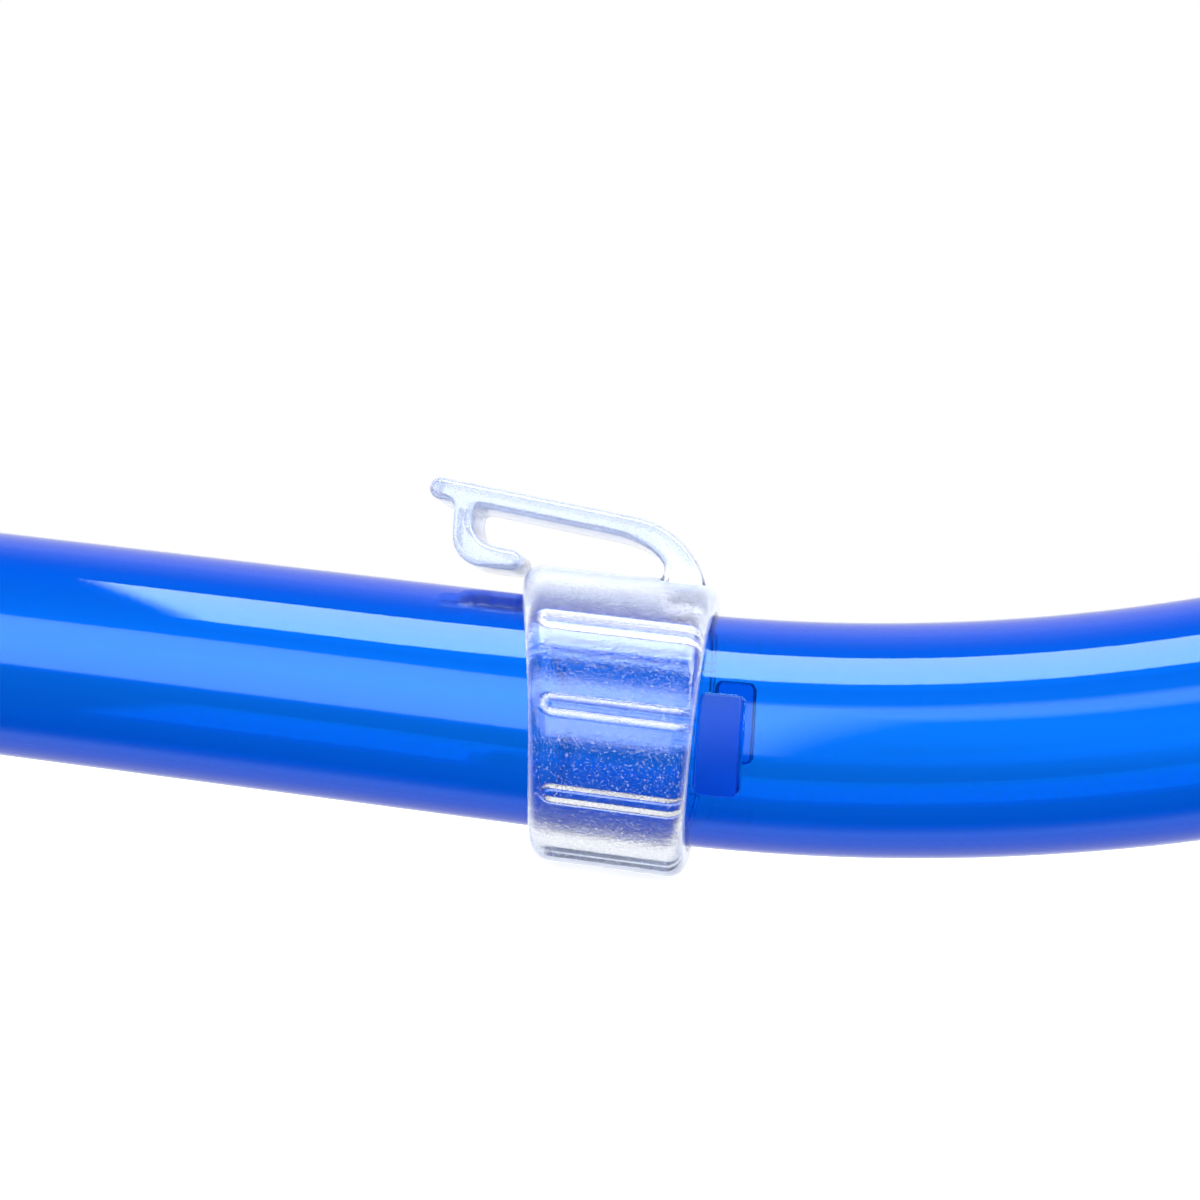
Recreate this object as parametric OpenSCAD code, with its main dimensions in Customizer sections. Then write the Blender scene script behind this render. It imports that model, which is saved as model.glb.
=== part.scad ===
// Snorkel with a contoured barrel, a clear strap keeper, a splash guard and a swivelling purge chamber.
// Origin: in the middle of the keeper's strap slot, where the mask strap passes.
// +X runs along the straight stretch of the barrel towards the mouthpiece.
// +Z points to the inside of the bends, the side that faces the diver's head.
// The modules work from a point on the barrel's axis in the middle of the keeper ring;
// from_slot() moves each finished piece to the origin above.

/* [Barrel] */
// Outside diameter of the barrel
barrel_d = 24; // [23:0.5:25]
// Wall thickness of the barrel
barrel_wall = 1.8; // [1.4:0.1:2]
// Length of the straight stretch above the keeper
straight_l = 72; // [64:1:90]
// Distance below the keeper's middle at which the lower bend starts
lower_bend_start = 3; // [1:0.5:6]
// Radius of the bend that leads to the mouthpiece
lower_bend_r = 203; // [180:1:260]
// Angle of the bend that leads to the mouthpiece
lower_bend_a = 30; // [20:1:34]
// Radius of the bend over the head
upper_bend_r = 200; // [160:1:260]
// Angle of the bend over the head
upper_bend_a = 28; // [15:1:34]
// Length of the straight end under the splash guard
upper_end_l = 38; // [36:1:60]
// Length of the straight end inside the purge chamber
lower_end_l = 18; // [17:1:24]

/* [Stop pads] */
// Length of a stop pad along the barrel
pad_l = 4.7; // [3:0.1:6]
// Height of a stop pad round the barrel
pad_h = 10.2; // [6:0.2:12]
// Turn of the two stop pads round the barrel
pad_turn = 3; // [0:0.5:6]
// How far a stop pad stands above the barrel
pad_rise = 1; // [0.6:0.1:1.6]

/* [Keeper] */
// Outside diameter of the keeper ring
ring_d = 30.5; // [29.5:0.1:32]
// Width of the keeper ring opposite the hook
ring_w = 16.4; // [14:0.2:18]
// Extra width of the keeper ring under the hook
ring_flare = 4.2; // [2:0.2:5]
// Radial gap between the keeper ring and the barrel
keeper_gap = 0.15; // [0.15:0.01:0.3]
// Turn of the keeper round the barrel at rest
keeper_turn = 4.5; // [0:0.1:15]
// Width of the hook across the strap slot
hook_w = 8.5; // [6:0.5:10]
// Thickness of the hook's arm
arm_t = 2.25; // [1.8:0.05:2.4]

/* [Purge chamber] */
// Distance from the barrel's end to the mouthpiece branch
branch_z = 13; // [13:0.5:15]
// Lean of the mouthpiece branch towards the barrel
branch_lean = 10; // [4:1:12]
// Outside diameter of the mouthpiece stub
stub_d = 22; // [21:0.5:22.5]
// Diameter of the purge valve's disc
valve_d = 25.2; // [24:0.2:25.6]
// Lift of the purge valve
valve_lift = 1.5; // [1:0.1:1.6]

/* [Mouthpiece] */
// Width of the lip shield
shield_w = 62; // [54:1:68]
// Height of the lip shield
shield_h = 34; // [28:1:38]

/* [Splash guard] */
// Outside diameter of the splash guard
guard_d = 36; // [34:0.5:40]
// Height of the splash guard above the barrel's end
guard_h = 36; // [33:1:42]
// Number of air slots round the splash guard
guard_slots = 12; // [8:1:14]

/* [Hidden] */
$fn = 96;
eps = 0.1;
snug = 0.03;          // radial gap of parts that are pushed together and stay put
run = 0.06;           // radial gap of parts that turn in each other

barrel_r = barrel_d / 2;
bore_r = barrel_r - barrel_wall;
spigot_r = barrel_r - 0.2;      // both ends of the barrel are sized down
spigot_bore_r = bore_r + 0.1;
ring_r = ring_d / 2;
ring_edge = 1.8;      // rounding of the keeper ring's outer edges
ring_x1 = ring_w / 2; // lower rim of the keeper ring
ring_x0 = -ring_w / 2 - ring_flare;
pad_x = ring_x1 + 0.15;
pad_corner = 0.9;
flare_r = 53;         // radius of the sweep that cuts the keeper ring's upper rim
flare_z = -8;         // height of the sweep's middle
rib_r = 0.8;
rib_first = 54;       // angle from the hook to the first rib
rib_step = 34;
post_w = 3.4;         // block under the curved root, which joins it to the ring
post_h = 2.4;

// Hook outline, in the keeper's own plane: x along the barrel, y away from its axis
root_c = [-1.95, 11.45];                       // centre of the arm's curved root
root_r = 9.55;                                 // outside radius of the curved root
root_split = 40;                               // angle at which the post ends and the hook starts
arm_slope = 5.2;                               // rise of the arm towards its tip
root_gap = 0.4;                                // angle of the cut between post and hook
arm_start = root_c + (root_r - arm_t / 2) * [sin(arm_slope), cos(arm_slope)];
arm_l = 20.75;
arm_tip = arm_start + arm_l * [-cos(arm_slope), sin(arm_slope)];
leg_x = -18.95;                                // middle of the leg
leg_top = 21.2;
leg_t = 2;
curl_c = [leg_x + 2.3, 17.35];                 // centre of the curl
curl_t = 2.1;
curl_r = 2.25;                                 // middle radius of the curl
foot_end = [-13.5, curl_c[1] - curl_r];       // middle of the foot's rounded end
slot_c = [-7.5, 17.3];                         // middle of the strap slot

// Stations along the purge chamber, measured from the barrel's end
socket_z = -15;       // open end of the socket
socket_r = 15.4;
shoulder_z = 0.3;     // shoulder that the barrel's end faces
narrow_z = 1.5;       // where the socket starts to narrow
narrow_l = 2.5;
shell_r = 12.9;       // outside of the chamber's middle
cavity_r = 10.4;
lock_z = -4.2;        // middle of the lock ring
lock_w = 1.4;
seal_z = -9.4;        // middle of the O-ring
seal_r = 0.9;         // thickness radius of the O-ring
bell_z = 31;          // where the bell reaches its full size
bell_l = 4;           // length over which the bell widens
bell_r = 16.2;
bell_end = 38;
ledge_z = 35;         // ledge that carries the valve seat
seat_r = 14;
seat_t = 2;
cover_end = 44;
cover_r = 17.9;
cover_t = 1.8;
cover_slots = 10;
valve_port_r = valve_d / 2 - 0.3;
stem_r = 1.5;

// Stations along the mouthpiece branch, measured from the chamber's axis
stub_r = stub_d / 2;
stub_wall = 1.8;
stub_end = 33;
bead_z = 30;          // middle of the stub's retaining bead
bead_rise = 0.6;
bead_r = 1;
sleeve_z = 20;
sleeve_r = 13.4;
neck_z = 35;
shield_z = 48;
shield_t = 2.6;
shield_bow = 52;      // radius of the lip shield's bow
clamp_z = 23.5;
clamp_w = 4.8;
clamp_t = 1.1;

guard_r = guard_d / 2;
guard_t = 1.6;
guard_collar_l = 18;
band_w = 14;          // width of the visibility band
baffle_z = 13;        // foot of the baffle's cone
baffle_h = 5;
baffle_r = 12.6;
baffle_top_r = 3;
flange_t = 1.5;       // the splash guard's flange above the barrel's end
crown_edge = 8;       // rounding of the splash guard's crown

// Moves a finished piece so that the strap slot's middle is at the origin
module from_slot() {
    translate([-slot_c[0], -slot_c[1] * sin(keeper_turn), -slot_c[1] * cos(keeper_turn)])
        children();
}

// A round bar along X from x0 to x1
module bar_x(x0, x1, r) {
    translate([x0, 0, 0])
        rotate([0, 90, 0])
            cylinder(h = x1 - x0, r = r);
}

// Places a child at the barrel's lower end, with its +Z pointing out of the barrel
module at_lower_end() {
    reach = lower_bend_r * sin(lower_bend_a) + lower_end_l * cos(lower_bend_a);
    rise = lower_bend_r * (1 - cos(lower_bend_a)) + lower_end_l * sin(lower_bend_a);
    translate([lower_bend_start + reach, 0, rise])
        rotate([0, 90 - lower_bend_a, 0])
            children();
}

// Places a child at the barrel's upper end, with its +Z pointing out of the barrel
module at_upper_end() {
    reach = upper_bend_r * sin(upper_bend_a) + upper_end_l * cos(upper_bend_a);
    rise = upper_bend_r * (1 - cos(upper_bend_a)) + upper_end_l * sin(upper_bend_a);
    translate([-straight_l - reach, 0, rise])
        rotate([0, upper_bend_a - 90, 0])
            children();
}

// Places a child on the mouthpiece branch, with its +Z pointing to the mouth
module on_branch() {
    translate([0, 0, branch_z])
        rotate([0, -90 - branch_lean, 0])
            children();
}

// Turns the keeper round the barrel to where it rests
module keeper_place() {
    rotate([-keeper_turn, 0, 0])
        children();
}

// A ring about Z
module tube(z0, z1, r_in, r_out) {
    translate([0, 0, z0])
        difference() {
            cylinder(h = z1 - z0, r = r_out);
            translate([0, 0, -eps])
                cylinder(h = z1 - z0 + 2 * eps, r = r_in);
        }
}

// The barrel's section: a ring, in outline
module wall_section() {
    difference() {
        circle(r = barrel_r);
        circle(r = bore_r);
    }
}

// A straight length of barrel wall along X from x0 to x1
module wall_x(x0, x1) {
    translate([x0, 0, 0])
        rotate([0, 90, 0])
            linear_extrude(height = x1 - x0)
                wall_section();
}

// A length of barrel wall that is level at x and bends upwards through an angle
module bent_wall(x, bend_r, angle) {
    translate([x, 0, bend_r])
        rotate([90, 0, 0])
            rotate([0, 0, -90])
                rotate_extrude(angle = angle)
                    translate([bend_r, 0])
                        wall_section();
}

// The barrel's whole run, without its stop pads
module barrel_run() {
    overlap = 1;
    wall_x(-straight_l, lower_bend_start);
    bent_wall(lower_bend_start, lower_bend_r, lower_bend_a);
    mirror([1, 0, 0])
        bent_wall(straight_l, upper_bend_r, upper_bend_a);
    at_lower_end()
        tube(-lower_end_l - overlap, 0, spigot_bore_r, spigot_r);
    at_upper_end()
        tube(-upper_end_l - overlap, 0, spigot_bore_r, spigot_r);
}

// One stop pad on the side that side = 1 or -1 names
module stop_pad(side) {
    depth = pad_rise + barrel_wall / 2;
    rotate([pad_turn, 0, 0])
        intersection() {
            difference() {
                bar_x(pad_x, pad_x + pad_l, barrel_r + pad_rise);
                bar_x(pad_x - 1, pad_x + pad_l + 1, barrel_r - barrel_wall / 2);
            }
            translate([pad_x, side * (barrel_r + pad_rise - depth), -pad_h / 2])
                rotate([90, 0, 0])
                    linear_extrude(height = 2 * depth + 4, center = true)
                        pad_outline();
        }
}

// A stop pad seen square on, with rounded corners
module pad_outline() {
    translate([pad_corner, 0])
        square([pad_l - 2 * pad_corner, pad_h]);
    translate([0, pad_corner])
        square([pad_l, pad_h - 2 * pad_corner]);
    for (x = [pad_corner, pad_l - pad_corner], z = [pad_corner, pad_h - pad_corner])
        translate([x, z])
            circle(r = pad_corner, $fn = 32);
}

module barrel() {
    color([0.02, 0.25, 0.85])
        from_slot()
            difference() {
                union() {
                    barrel_run();
                    stop_pad(1);
                    stop_pad(-1);
                }
                at_lower_end()
                    tube(lock_z - lock_w / 2 - eps, lock_z + lock_w / 2 + eps, spigot_r - 0.7, spigot_r + 1);
            }
}

// Half section of the keeper ring: along the barrel, then away from its axis
module ring_section() {
    r_in = barrel_r + keeper_gap;
    translate([ring_x0, r_in])
        square([ring_x1 - ring_x0, ring_r - ring_edge - r_in]);
    translate([ring_x0 + ring_edge, r_in])
        square([ring_x1 - ring_x0 - 2 * ring_edge, ring_r - r_in]);
    for (x = [ring_x0 + ring_edge, ring_x1 - ring_edge])
        translate([x, ring_r - ring_edge])
            circle(r = ring_edge, $fn = 48);
}

// The eight long ribs, set from the hook round both sides of the ring
module ring_ribs() {
    for (side = [-1, 1], k = [0:3])
        rotate([side * (rib_first + rib_step * k), 0, 0])
            translate([0, 0, ring_r - 0.35])
                bar_x(-ring_w / 2 + 0.4, ring_x1 - 0.3, rib_r);
}

// The curved root of the hook's arm in outline, between two angles from +x
module root_outline(a0, a1) {
    intersection() {
        translate(root_c)
            difference() {
                circle(r = root_r);
                circle(r = root_r - arm_t - 0.3);
            }
        translate(root_c)
            polygon([[0, 0], 20 * [cos(a0), sin(a0)], 20 * [cos((a0 + a1) / 2), sin((a0 + a1) / 2)],
                     20 * [cos(a1), sin(a1)]]);
    }
}

// A straight stroke with round ends from p to q
module stroke(p, q, t) {
    d = q - p;
    translate(p) {
        circle(d = t, $fn = 32);
        rotate(atan2(d[1], d[0]))
            translate([0, -t / 2])
                square([norm(d), t]);
    }
    translate(q)
        circle(d = t, $fn = 32);
}

// Raises an outline of the keeper's plane to the hook's width
module hook_plate() {
    rotate([90, 0, 0])
        linear_extrude(height = hook_w, center = true)
            children();
}

module keeper_ring() {
    color([0.85, 0.9, 0.97, 0.6])
        from_slot()
            keeper_place()
                difference() {
                    union() {
                        rotate([0, 90, 0])
                            rotate([0, 0, 180])
                                rotate_extrude()
                                    rotate(90)
                                        mirror([0, 1])
                                            ring_section();
                        ring_ribs();
                        hook_plate() {
                            root_outline(2, root_split);
                            translate([root_c[0] + root_r - 5, barrel_r + 1.5])
                                square([post_w, post_h]);
                        }
                    }
                    bar_x(-2 * ring_w, 2 * ring_w, barrel_r + keeper_gap);
                    // the upper rim sweeps out towards the hook
                    translate([-ring_w / 2 + 0.8 - flare_r, 0, flare_z])
                        rotate([90, 0, 0])
                            cylinder(h = 2 * ring_d, r = flare_r, center = true);
                }
}

module keeper_hook() {
    color([0.85, 0.9, 0.97, 0.6])
        from_slot()
            keeper_place()
                hook_plate() {
                    root_outline(root_split + root_gap, 90 - arm_slope);
                    stroke(arm_start, arm_tip, arm_t);
                    stroke([leg_x, leg_top], [leg_x, curl_c[1]], leg_t);
                    intersection() {
                        translate(curl_c)
                            difference() {
                                circle(r = curl_r + curl_t / 2);
                                circle(r = curl_r - curl_t / 2);
                            }
                        translate(curl_c - [10, 10])
                            square(10);
                    }
                    stroke([curl_c[0], foot_end[1]], foot_end, curl_t);
                }
}

module visibility_band() {
    color([1, 0.35, 0.05])
        from_slot()
            at_upper_end()
                tube(1 - upper_end_l, 1 - upper_end_l + band_w, spigot_r + snug, barrel_r + 0.3);
}

module splash_guard_base() {
    color([0.03, 0.12, 0.5])
        from_slot()
            at_upper_end()
                difference() {
                    union() {
                        tube(-guard_collar_l, 0, spigot_r + snug, barrel_r + 2.3);
                        tube(-1, flange_t, spigot_r + snug, guard_r);
                        tube(snug, flange_t, bore_r, barrel_r + 1);
                        for (a = [0:120:240])
                            rotate(a)
                                translate([barrel_r + 2, -1.2, 1])
                                    cube([1.9, 2.4, 5]);
                    }
                    // drain notches round the flange
                    for (a = [15:30:345])
                        rotate(a)
                            translate([guard_r - 1.9, -1.6, -2])
                                cube([4, 3.2, 4]);
                }
}

module splash_guard_baffle() {
    color([0.1, 0.3, 0.85])
        from_slot()
            at_upper_end() {
                difference() {
                    translate([0, 0, baffle_z])
                        cylinder(h = baffle_h, r1 = baffle_r, r2 = baffle_top_r);
                    translate([0, 0, baffle_z - eps])
                        cylinder(h = baffle_h - 1.4, r1 = baffle_r - 1.4, r2 = baffle_top_r);
                }
                for (a = [60:120:300])
                    rotate(a)
                        translate([10.6, -1, flange_t + snug])
                            cube([1.4, 2, 12.3]);
            }
}

// Half section of a rounded cap of radius r and height h, filled to the axis
module hood_section(r, h, edge) {
    square([r - edge, h]);
    square([r, h - edge]);
    translate([r - edge, h - edge])
        circle(r = edge);
}

module splash_guard_hood() {
    slot_w = 3.4;
    slot_l = 15;
    color([0.03, 0.12, 0.5])
        from_slot()
            at_upper_end()
                translate([0, 0, flange_t + snug])
                    difference() {
                        rotate_extrude()
                            hood_section(guard_r, guard_h - flange_t, crown_edge);
                        translate([0, 0, -eps])
                            rotate_extrude()
                                hood_section(guard_r - guard_t, guard_h - flange_t - guard_t,
                                             crown_edge - guard_t);
                        for (k = [0:guard_slots - 1])
                            rotate(k * 360 / guard_slots)
                                translate([guard_r - guard_t / 2, 0, 6]) {
                                    translate([-2, -slot_w / 2, slot_w / 2])
                                        cube([4, slot_w, slot_l - slot_w]);
                                    for (z = [slot_w / 2, slot_l - slot_w / 2])
                                        translate([-2, 0, z])
                                            rotate([0, 90, 0])
                                                cylinder(h = 4, d = slot_w, $fn = 32);
                                }
                    }
}

// The chamber's outside, with the stub for the mouthpiece
module chamber_outside() {
    translate([0, 0, socket_z])
        cylinder(h = narrow_z - socket_z, r = socket_r);
    translate([0, 0, narrow_z])
        cylinder(h = narrow_l, r1 = socket_r, r2 = shell_r);
    cylinder(h = bell_z, r = shell_r);
    translate([0, 0, bell_z - bell_l])
        cylinder(h = bell_l, r1 = shell_r, r2 = bell_r);
    translate([0, 0, bell_z])
        cylinder(h = bell_end - bell_z, r = bell_r);
    on_branch() {
        cylinder(h = stub_end, r = stub_r);
        translate([0, 0, bead_z])
            rotate_extrude()
                translate([stub_r + bead_rise - bead_r, 0])
                    circle(r = bead_r, $fn = 32);
    }
}

module chamber_inside() {
    translate([0, 0, socket_z - eps])
        cylinder(h = shoulder_z - socket_z + eps, r = spigot_r + run);
    translate([0, 0, lock_z - lock_w / 2 - 0.15])
        cylinder(h = lock_w + 0.3, r = spigot_r + 1.15);
    translate([0, 0, seal_z - seal_r - 0.15])
        cylinder(h = 2 * seal_r + 0.3, r = spigot_r + snug + 2 * seal_r + 0.02);
    cylinder(h = bell_z, r = cavity_r);
    translate([0, 0, bell_z - 2])
        cylinder(h = 2, r1 = cavity_r, r2 = valve_port_r);
    translate([0, 0, bell_z - 0.01])
        cylinder(h = ledge_z - bell_z + eps, r = valve_port_r);
    translate([0, 0, ledge_z])
        cylinder(h = bell_end - ledge_z + eps, r = seat_r + snug);
    on_branch()
        cylinder(h = stub_end + eps, r = stub_r - stub_wall);
}

module lower_chamber() {
    color([0.03, 0.22, 0.75])
        from_slot()
            at_lower_end()
                difference() {
                    chamber_outside();
                    chamber_inside();
                }
}

module swivel_lock_ring() {
    color("whitesmoke")
        from_slot()
            at_lower_end()
                difference() {
                    tube(lock_z - lock_w / 2, lock_z + lock_w / 2, spigot_r - 0.65, spigot_r + 1);
                    translate([0, -1.6, lock_z - 2])
                        cube([20, 3.2, 4]);
                }
}

module chamber_o_ring() {
    color([0.08, 0.08, 0.09])
        from_slot()
            at_lower_end()
                translate([0, 0, seal_z])
                    rotate_extrude()
                        translate([spigot_r + snug + seal_r, 0])
                            circle(r = seal_r, $fn = 32);
}

module purge_valve_seat() {
    spoke_w = 1.3;
    color([0.9, 0.92, 0.95])
        from_slot()
            at_lower_end()
                translate([0, 0, ledge_z])
                    difference() {
                        cylinder(h = seat_t, r = seat_r);
                        translate([0, 0, -eps])
                            difference() {
                                cylinder(h = seat_t + 2 * eps, r = valve_d / 2 - 1.6);
                                cylinder(h = seat_t + 2 * eps, r = 3.4);
                                for (a = [0, 60, 120])
                                    rotate(a)
                                        translate([-20, -spoke_w / 2, 0])
                                            cube([40, spoke_w, seat_t + 2 * eps]);
                            }
                        translate([0, 0, -eps])
                            cylinder(h = seat_t + 2 * eps, r = stem_r + run);
                    }
}

module purge_valve() {
    disc_z = ledge_z + seat_t + snug;
    bulb_top = ledge_z - valve_lift - 0.3;
    color([0.93, 0.95, 0.97])
        from_slot()
            at_lower_end() {
                translate([0, 0, disc_z])
                    cylinder(h = 0.8, r = valve_d / 2);
                translate([0, 0, disc_z + 0.8])
                    cylinder(h = 0.7, r1 = 4, r2 = 1.5);
                translate([0, 0, bulb_top - 3])
                    cylinder(h = disc_z - bulb_top + 3.1, r = stem_r);
                translate([0, 0, bulb_top - 1.7])
                    cylinder(h = 1.7, r1 = 1.6, r2 = 2.1);
            }
}

module purge_cover() {
    color([0.03, 0.22, 0.75])
        from_slot()
            at_lower_end()
                difference() {
                    union() {
                        translate([0, 0, bell_z + 0.5])
                            cylinder(h = cover_end - bell_z - 1.5, r = cover_r);
                        translate([0, 0, cover_end - 1])
                            cylinder(h = 1, r1 = cover_r, r2 = cover_r - 1);
                    }
                    translate([0, 0, bell_z])
                        cylinder(h = cover_end - cover_t - bell_z, r = bell_r + snug);
                    // drain windows round the side
                    for (k = [0:cover_slots - 1])
                        rotate(k * 360 / cover_slots)
                            translate([cover_r - 3, -2.6, bell_end + 0.4])
                                cube([6, 5.2, 2.6]);
                    // slots in the end
                    for (k = [0:cover_slots - 1])
                        rotate((k + 0.5) * 360 / cover_slots)
                            translate([7, -1.1, cover_end - 4])
                                cube([7, 2.2, 6]);
                }
}

// An upright oval cylinder, w along Y and h along X
module oval(w, h, t) {
    scale([h / w, 1, 1])
        cylinder(h = t, d = w, $fn = 48);
}

// A round bar across the mouth that the lip shield is bowed round
module shield_bow_bar(r) {
    translate([0, 0, shield_z + shield_bow])
        rotate([0, 90, 0])
            cylinder(h = shield_h + 4, r = r, center = true, $fn = 128);
}

// One bite lug: a thin tab with a thicker bar at its end
module bite_lug(side) {
    lug_y = 15.5;
    lug_w = 12;
    intersection() {
        union() {
            translate([-1.1, side * lug_y - lug_w / 2, shield_z])
                cube([2.2, lug_w, 16]);
            translate([-2.8, side * lug_y - lug_w / 2, shield_z + 13])
                cube([5.6, lug_w, 3.6]);
        }
        shield_bow_bar(shield_bow - shield_t / 2);
    }
}

// The bowed lip shield
module lip_shield() {
    intersection() {
        translate([0, 0, shield_z - 10])
            oval(shield_w, shield_h, 30);
        difference() {
            shield_bow_bar(shield_bow);
            shield_bow_bar(shield_bow - shield_t);
        }
    }
}

module mouthpiece() {
    color([0.88, 0.92, 0.96, 0.7])
        from_slot()
            at_lower_end()
                on_branch()
                    difference() {
                        union() {
                            translate([0, 0, sleeve_z])
                                cylinder(h = neck_z - sleeve_z, r = sleeve_r, $fn = 48);
                            hull() {
                                translate([0, 0, neck_z - 1])
                                    cylinder(h = 1, r = sleeve_r, $fn = 48);
                                translate([0, 0, shield_z])
                                    oval(31, 17, 1);
                            }
                            lip_shield();
                            bite_lug(1);
                            bite_lug(-1);
                        }
                        translate([0, 0, sleeve_z - eps])
                            cylinder(h = stub_end - sleeve_z + eps + 0.3, r = stub_r + snug, $fn = 96);
                        translate([0, 0, bead_z - 1.4])
                            cylinder(h = 2.8, r = stub_r + bead_rise + 0.1, $fn = 96);
                        hull() {
                            translate([0, 0, stub_end])
                                cylinder(h = 1, r = stub_r - stub_wall, $fn = 48);
                            translate([0, 0, shield_z + 5])
                                oval(24, 11, 1);
                        }
                    }
}

module mouthpiece_clamp() {
    color([0.1, 0.1, 0.12])
        from_slot()
            at_lower_end()
                on_branch() {
                    tube(clamp_z, clamp_z + clamp_w, sleeve_r + snug, sleeve_r + clamp_t);
                    translate([-3.6, sleeve_r + 0.4, clamp_z - 0.6])
                        cube([7.2, 4.2, clamp_w + 1.2]);
                }
}

barrel();
keeper_ring();
keeper_hook();
visibility_band();
splash_guard_base();
splash_guard_baffle();
splash_guard_hood();
lower_chamber();
swivel_lock_ring();
chamber_o_ring();
purge_valve_seat();
purge_valve();
purge_cover();
mouthpiece();
mouthpiece_clamp();
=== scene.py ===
import math

import bmesh
import bpy
import numpy as np
from mathutils import Matrix, Vector


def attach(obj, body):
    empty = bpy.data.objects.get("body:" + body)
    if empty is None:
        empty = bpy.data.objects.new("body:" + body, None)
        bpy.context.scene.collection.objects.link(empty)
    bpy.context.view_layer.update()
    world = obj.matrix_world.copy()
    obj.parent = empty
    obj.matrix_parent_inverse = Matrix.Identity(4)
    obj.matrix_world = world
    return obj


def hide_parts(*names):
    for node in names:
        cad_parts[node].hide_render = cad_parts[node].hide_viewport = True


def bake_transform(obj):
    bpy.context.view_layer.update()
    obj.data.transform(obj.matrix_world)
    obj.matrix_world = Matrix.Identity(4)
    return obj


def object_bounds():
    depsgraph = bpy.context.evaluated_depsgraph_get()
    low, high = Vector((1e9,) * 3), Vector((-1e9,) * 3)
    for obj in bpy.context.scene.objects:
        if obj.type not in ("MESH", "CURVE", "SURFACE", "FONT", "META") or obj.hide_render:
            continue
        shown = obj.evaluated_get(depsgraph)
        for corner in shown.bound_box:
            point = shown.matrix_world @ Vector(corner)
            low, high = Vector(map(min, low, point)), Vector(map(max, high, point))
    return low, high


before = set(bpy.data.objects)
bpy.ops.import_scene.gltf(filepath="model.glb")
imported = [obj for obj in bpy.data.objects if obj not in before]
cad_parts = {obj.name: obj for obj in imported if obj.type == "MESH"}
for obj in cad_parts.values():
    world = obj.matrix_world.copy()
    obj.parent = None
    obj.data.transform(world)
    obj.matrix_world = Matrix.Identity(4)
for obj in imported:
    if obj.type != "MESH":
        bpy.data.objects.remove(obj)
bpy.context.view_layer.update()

MM = 0.001
WELD = 1e-7                       # distance in metres under which two CAD points are one
RIGHT_ANGLE = math.pi / 2
TURN = math.radians(4.5)          # the keeper's turn round the barrel at rest
SLOT = (-7.5, 17.3)               # middle of the strap slot in the keeper's plane, mm

# Barrel, in mm, from a point on its axis inside the keeper ring
BARREL_R = 12.0
BORE_R = 10.2
SPIGOT_R = 11.8
STRAIGHT = 72.0                   # where the upper bend starts, towards the top
LOWER_START = 3.0                 # where the lower bend starts
LOWER_R = 203.0
LOWER_A = math.radians(30)
LOWER_END = 18.0                  # straight end below the bend
UPPER_R = 200.0
UPPER_A = math.radians(28)
UPPER_END = 38.0                  # straight end above the upper bend
SPIGOT_EASE = 0.8                 # length of the step down to each end
END_BULGE = 0.25                  # how far the end faces stand past the last row
END_BEVEL = 0.5
ROW_STEP = 2.4                    # spacing of the mesh's rows along the barrel
COLUMNS = 144
COLUMN_GAP = 0.01                 # least angle between a fine column and an even one

# Stop pads on the barrel's two sides
PAD_X0 = 8.4
PAD_X1 = 13.1
PAD_HALF = 5.1
PAD_CORNER = 0.9
PAD_RISE = 1.0
PAD_EDGE = 0.45                   # width of the slope at a pad's edge
PAD_TURN = math.radians(3)
PAD_MARGIN = 0.5                  # plain barrel meshed with a pad
PAD_BORDER = 1.3                  # finely meshed border inside a pad's ends
PAD_OVERLAP = 0.1                 # how far the fine rows start outside a pad
PAD_STEP = 0.06
PAD_REACH = 1.15                  # finely meshed stretch to each side of a pad's long edges
FINE_COLUMNS = 33

# Keeper ring
RING_IN = 12.15
RING_OUT = 15.25
RING_X1 = 8.2
RING_X0 = -12.4
FLARE_R = 53.0
FLARE_X = -7.4
FLARE_Z = -8.0
RING_EDGE = 1.7
RING_BODY_R = RING_OUT - RING_EDGE
RING_LIP = 0.35                   # bevel at each end of the bore
BORE_ROWS = 12
EDGE_ROWS = 8
OUTSIDE_ROWS = 60
RING_COLUMNS = 120
RING_COLUMN_GAP = 0.03
RIB_ANGLES = [math.radians(a) for a in (54, 88, 122, 156)]
RIB_HALF = 1.2                    # half the width of a rib
RIB_CREST = 0.78                  # from a rib's middle line to the top of either ridge
RIB_FLOOR = 0.3                   # half the width of the channel between its ridges
RIB_H = 0.32
RIB_FLAT = 0.93                   # share of the height at which a ridge is cut flat
RIB_START = 2.6                   # from the ring's upper rim to the middle of a rib's round end
RIB_REACH = 1.3                   # finely meshed stretch to each side of a rib's middle line
LIT_FROM = -8.0                   # height from which the ribs face the light and get a painted highlight, and over which this sets in
LIT_OVER = 6.0

# Hook, in the keeper's plane: x along the barrel, z away from its axis
HOOK_W = 8.5
HOOK_EDGE = 0.75
HOOK_EDGE_ROWS = 6
HOOK_STEP = 0.35                  # spacing of the points round the outline
HOOK_MARGIN = 0.1                 # how far beside the hook a point still counts as on it
HOOK_FOOT = 14.5                  # height at which the hook leaves the ring
HAZE_OVER = 2.5                   # height over which its haze rises
ROOT_C = np.array([-1.95, 11.45])
ROOT_R = 9.55
ARM_T = 2.25
ARM_SLOPE = math.radians(5.2)
ARM_TIP_X = -21.85
RIM_MARGIN = 0.02                 # distance beyond the ring's rim from which a point is only the hook's


# ---------------------------------------------------------------- geometry helpers

def barrel_to_row():
    """Matrix from the barrel's millimetres to the row frame's metres."""
    shift = Vector((-SLOT[0], -SLOT[1] * math.sin(TURN), -SLOT[1] * math.cos(TURN)))
    return Matrix.Scale(MM, 4) @ Matrix.Translation(shift)


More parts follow.
